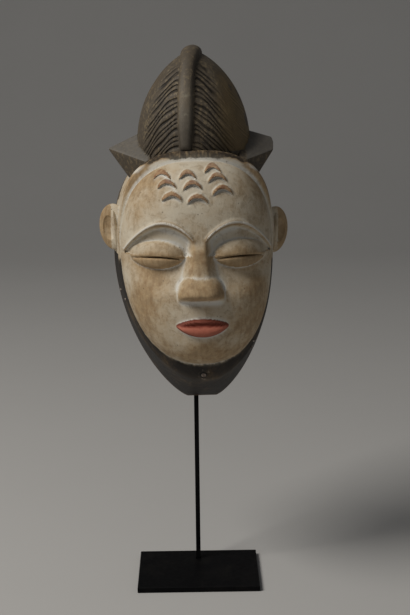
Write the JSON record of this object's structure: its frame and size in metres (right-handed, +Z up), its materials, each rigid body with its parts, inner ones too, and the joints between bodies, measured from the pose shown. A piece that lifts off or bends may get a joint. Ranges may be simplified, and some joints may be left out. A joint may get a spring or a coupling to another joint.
{
  "type": "carved mask on stand",
  "caption": "Hollow carved wooden face mask with a ribbed crest of combed hair, hung on a bent steel rod that stands in a flat steel foot.",
  "frame": {"origin": "centre of the foot's underside", "axes": "+Z up, the face looks along -Y, +X to the viewer's right"},
  "size_m": [0.1577, 0.1208, 0.4592],
  "materials": {
    "blackened_steel": "matte black",
    "carved_wood": "worn kaolin on the face, dark stained hair",
    "peg_wood": "bare"
  },
  "bodies": {
    "root": {"foot": "blackened_steel", "rod": "blackened_steel", "mask": "carved_wood", "chin_peg": "peg_wood", "rim_peg_left_upper": "peg_wood", "rim_peg_left_lower": "peg_wood", "rim_peg_right_upper": "peg_wood", "rim_peg_right_lower": "peg_wood"}
  },
  "joints": []
}
